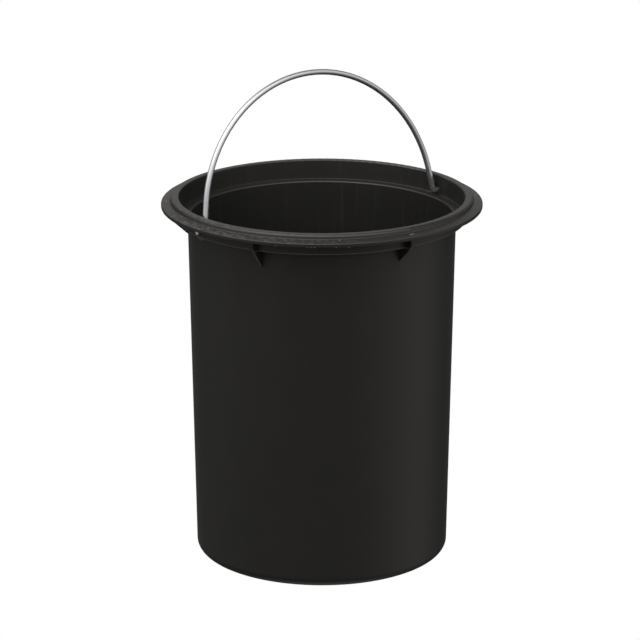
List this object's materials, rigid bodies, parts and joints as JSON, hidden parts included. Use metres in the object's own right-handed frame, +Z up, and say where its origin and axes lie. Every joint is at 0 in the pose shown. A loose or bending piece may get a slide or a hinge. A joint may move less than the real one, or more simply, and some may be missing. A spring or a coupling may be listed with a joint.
{
  "type": "florist bucket",
  "caption": "Round black plastic bucket with a stepped flanged rim, gussets under the flange, and a wire bail that swings over and folds down inside the neck.",
  "frame": {"origin": "centre of the bucket's base, on the surface it stands on", "axes": "+Z up along the bucket's axis; X along the bail's pivot axis; the stored bail leans towards +Y"},
  "size_m": [0.25, 0.25, 0.384],
  "materials": {
    "bucket_plastic": "black injection-moulded polypropylene, satin, with a fine moulded texture",
    "bail_steel": "bright drawn steel wire, smooth and semi-polished"
  },
  "bodies": {
    "bucket": {"moulded_bucket": "bucket_plastic"},
    "bail": {"wire_bail": "bail_steel"}
  },
  "joints": [
    {"name": "bail_hinge", "type": "hinge", "parent": "bucket", "child": "bail", "pos_m": [0, 0, 0.276], "axis": [1, 0, 0], "range_deg": [-80.2, 99.8]}
  ]
}
